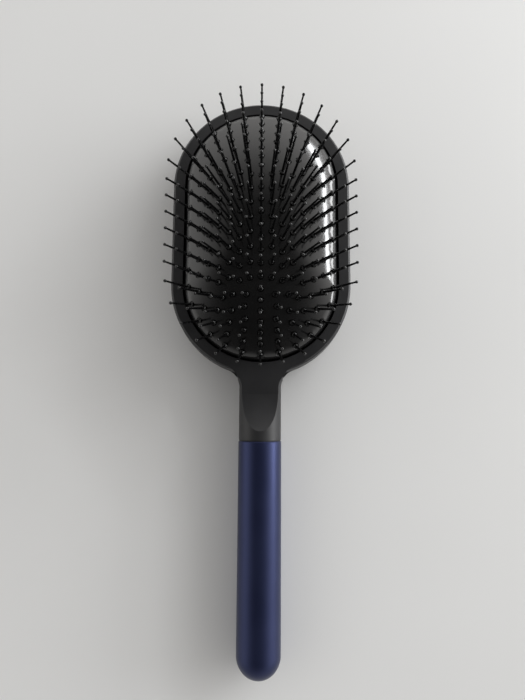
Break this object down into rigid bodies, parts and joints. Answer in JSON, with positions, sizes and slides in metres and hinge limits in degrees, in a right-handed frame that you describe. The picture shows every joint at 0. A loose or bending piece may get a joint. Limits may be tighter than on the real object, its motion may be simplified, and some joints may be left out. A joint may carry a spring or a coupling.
{
  "type": "paddle hair brush",
  "caption": "Paddle hair brush with an oval head, a domed air-cushioned rubber pad carrying ball-tipped pins, and a round sleeved handle.",
  "frame": {"origin": "centre of the overall length and width, on the plane that the flat back rests on", "axes": "+Y along the handle's axis towards the head; +Z out of the flat back towards the pins; +X to the right"},
  "size_m": [0.0808, 0.251, 0.0434],
  "materials": {
    "body_plastic": "satin soft-touch",
    "carrier_plastic": "satin",
    "pad_rubber": "gloss",
    "gasket_rubber": "matte",
    "sleeve_metal": "navy anodised satin",
    "pin_nylon": "gloss"
  },
  "bodies": {
    "brush": {"brush_body": "body_plastic", "pad_carrier": "carrier_plastic", "cushion_pad": "pad_rubber", "neck_gasket": "gasket_rubber", "handle_sleeve": "sleeve_metal"},
    "crown_pins": {"crown_pins": "pin_nylon"},
    "inner_zone_pins": {"inner_zone_pins": "pin_nylon"},
    "mid_inner_zone_pins": {"mid_inner_zone_pins": "pin_nylon"},
    "middle_zone_pins": {"middle_zone_pins": "pin_nylon"},
    "mid_outer_zone_pins": {"mid_outer_zone_pins": "pin_nylon"},
    "outer_zone_pins": {"outer_zone_pins": "pin_nylon"},
    "edge_zone_pins": {"edge_zone_pins": "pin_nylon"}
  },
  "joints": [
    {"name": "crown_press", "type": "slide", "parent": "brush", "child": "crown_pins", "axis": [0, 0, -1], "range_m": [0, 0.0034], "stiffness_N_per_m": 2500, "deforming": ["cushion_pad"]},
    {"name": "inner_zone_press", "type": "slide", "parent": "brush", "child": "inner_zone_pins", "axis": [0, 0, -1], "range_m": [0, 0.00311]},
    {"name": "mid_inner_zone_press", "type": "slide", "parent": "brush", "child": "mid_inner_zone_pins", "axis": [0, 0, -1], "range_m": [0, 0.00264]},
    {"name": "middle_zone_press", "type": "slide", "parent": "brush", "child": "middle_zone_pins", "axis": [0, 0, -1], "range_m": [0, 0.00215]},
    {"name": "mid_outer_zone_press", "type": "slide", "parent": "brush", "child": "mid_outer_zone_pins", "axis": [0, 0, -1], "range_m": [0, 0.0017]},
    {"name": "outer_zone_press", "type": "slide", "parent": "brush", "child": "outer_zone_pins", "axis": [0, 0, -1], "range_m": [0, 0.00114]},
    {"name": "edge_zone_press", "type": "slide", "parent": "brush", "child": "edge_zone_pins", "axis": [0, 0, -1], "range_m": [0, 0.00043]}
  ],
  "couplings": [
    {"joint": "inner_zone_press", "follows": "crown_press", "ratio": 0.899},
    {"joint": "mid_inner_zone_press", "follows": "crown_press", "ratio": 0.762},
    {"joint": "middle_zone_press", "follows": "crown_press", "ratio": 0.618},
    {"joint": "mid_outer_zone_press", "follows": "crown_press", "ratio": 0.486},
    {"joint": "outer_zone_press", "follows": "crown_press", "ratio": 0.322},
    {"joint": "edge_zone_press", "follows": "crown_press", "ratio": 0.111}
  ]
}
